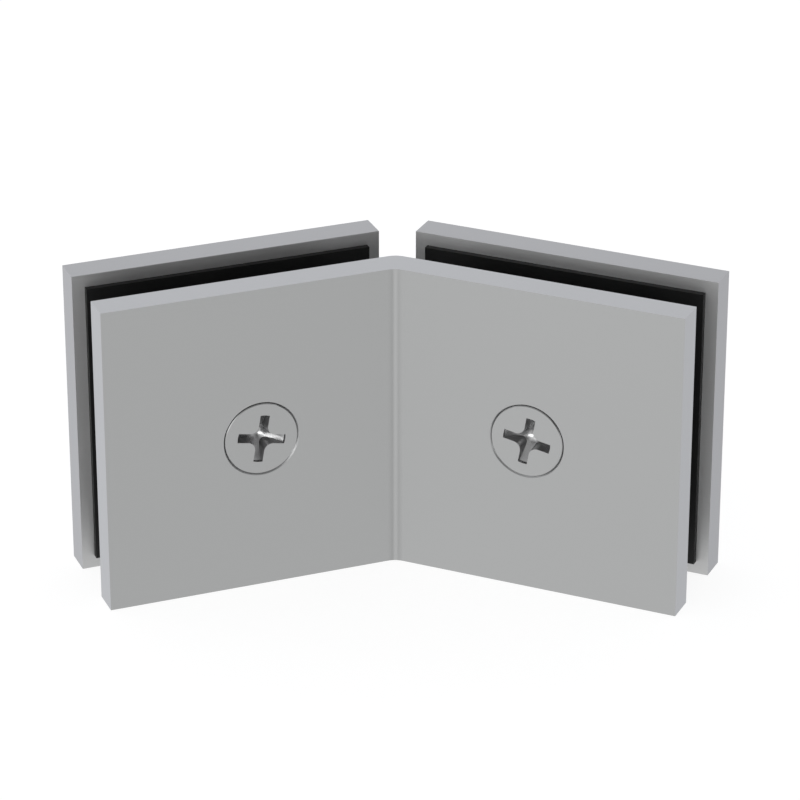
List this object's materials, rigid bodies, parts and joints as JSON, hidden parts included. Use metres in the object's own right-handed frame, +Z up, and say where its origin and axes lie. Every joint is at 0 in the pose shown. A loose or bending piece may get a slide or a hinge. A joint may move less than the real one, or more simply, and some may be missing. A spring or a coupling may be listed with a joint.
{
  "type": "glass panel clamp",
  "caption": "Bent corner clamp that joins two glass panels at an obtuse angle between a front plate and two screwed back plates lined with rubber gaskets.",
  "frame": {"origin": "bottom centre of the whole clamp's bounding box, on the surface that its plates stand on", "axes": "+X to the right and +Y to the back as seen from the screw heads, +Z up along the bend"},
  "size_m": [0.1018, 0.0372, 0.05],
  "materials": {
    "plate_metal": "fine satin",
    "screw_steel": "satin head with a bright recess",
    "gasket_rubber": "matte black",
    "sleeve_nylon": "matte natural nylon"
  },
  "bodies": {
    "front": {"front_plate": "plate_metal", "front_gasket_left": "gasket_rubber", "front_gasket_right": "gasket_rubber", "sleeve_left": "sleeve_nylon", "sleeve_right": "sleeve_nylon"},
    "screw_left": {"screw_left": "screw_steel"},
    "screw_right": {"screw_right": "screw_steel"},
    "jaw_left": {"back_plate_left": "plate_metal", "back_gasket_left": "gasket_rubber"},
    "jaw_right": {"back_plate_right": "plate_metal", "back_gasket_right": "gasket_rubber"}
  },
  "joints": [
    {"name": "screw_left_turn", "type": "hinge", "parent": "front", "child": "screw_left", "pos_m": [-0.02033, -0.00905, 0.025], "axis": [0.3827, -0.9239, 0], "range_deg": [-252, 720]},
    {"name": "jaw_left_slide", "type": "slide", "parent": "front", "child": "jaw_left", "axis": [-0.3827, 0.9239, 0], "range_m": [-0.0007, 0.002]},
    {"name": "screw_right_turn", "type": "hinge", "parent": "front", "child": "screw_right", "pos_m": [0.02033, -0.00905, 0.025], "axis": [-0.3827, -0.9239, 0], "range_deg": [-252, 720]},
    {"name": "jaw_right_slide", "type": "slide", "parent": "front", "child": "jaw_right", "axis": [0.3827, 0.9239, 0], "range_m": [-0.0007, 0.002]}
  ],
  "couplings": [
    {"joint": "screw_left_turn", "follows": "jaw_left_slide", "rad_per_m": 6283.2},
    {"joint": "screw_right_turn", "follows": "jaw_right_slide", "rad_per_m": 6283.2}
  ]
}
